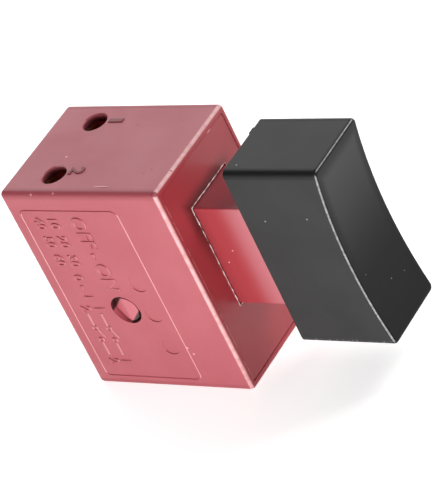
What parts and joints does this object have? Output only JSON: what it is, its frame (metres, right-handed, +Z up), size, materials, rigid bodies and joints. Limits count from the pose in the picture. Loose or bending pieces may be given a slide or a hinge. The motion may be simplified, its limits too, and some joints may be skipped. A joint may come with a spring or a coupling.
{
  "type": "momentary trigger switch",
  "caption": "Momentary trigger switch: pink moulded case with round push-in wire holes, a sliding plunger and a hollow black trigger cap with a concave finger face.",
  "frame": {"origin": "middle of the case's flat bottom end face", "axes": "+X from the case's closed back to the trigger, +Z up to the upper pair of wire holes, -Y out of the marked broad face"},
  "size_m": [0.046, 0.0177, 0.0322],
  "materials": {
    "case_plastic": "satin moulded pink",
    "carrier_plastic": "glossy dark pink",
    "plunger_plastic": "glossy pink",
    "trigger_plastic": "satin black",
    "spring_steel": "drawn wire",
    "clamp_steel": "rolled spring strip",
    "terminal_brass": "stamped brass",
    "contact_copper": "stamped copper alloy",
    "contact_silver": "silver alloy"
  },
  "bodies": {
    "case_body": {"case": "case_plastic", "contact_carrier": "carrier_plastic", "return_spring": "spring_steel", "terminal_1_in": "terminal_brass", "terminal_1_out": "terminal_brass", "terminal_2_in": "terminal_brass", "terminal_2_out": "terminal_brass", "fixed_contact_1_in": "contact_silver", "fixed_contact_1_out": "contact_silver", "fixed_contact_2_in": "contact_silver", "fixed_contact_2_out": "contact_silver", "wire_clamp_1_in": "clamp_steel", "wire_clamp_1_out": "clamp_steel", "wire_clamp_2_in": "clamp_steel", "wire_clamp_2_out": "clamp_steel"},
    "slider": {"plunger": "plunger_plastic", "trigger": "trigger_plastic", "contact_spring_1": "spring_steel", "contact_spring_2": "spring_steel"},
    "bridge_1": {"contact_bridge_1": "contact_copper", "bridge_contacts_1": "contact_silver"},
    "bridge_2": {"contact_bridge_2": "contact_copper", "bridge_contacts_2": "contact_silver"}
  },
  "joints": [
    {"name": "trigger_press", "type": "slide", "parent": "case_body", "child": "slider", "axis": [-1, 0, 0], "range_m": [0, 0.0065], "stiffness_N_per_m": 500, "springref_m": -0.006, "deforming": ["return_spring"]},
    {"name": "bridge_1_lift", "type": "slide", "parent": "slider", "child": "bridge_1", "axis": [1, 0, 0], "range_m": [0, 0.0026], "deforming": ["contact_spring_1"]},
    {"name": "bridge_2_lift", "type": "slide", "parent": "slider", "child": "bridge_2", "axis": [1, 0, 0], "range_m": [0, 0.0026], "deforming": ["contact_spring_2"]}
  ],
  "couplings": [
    {"joint": "bridge_1_lift", "follows": "trigger_press", "ratio": 0.4},
    {"joint": "bridge_2_lift", "follows": "trigger_press", "ratio": 0.4}
  ]
}
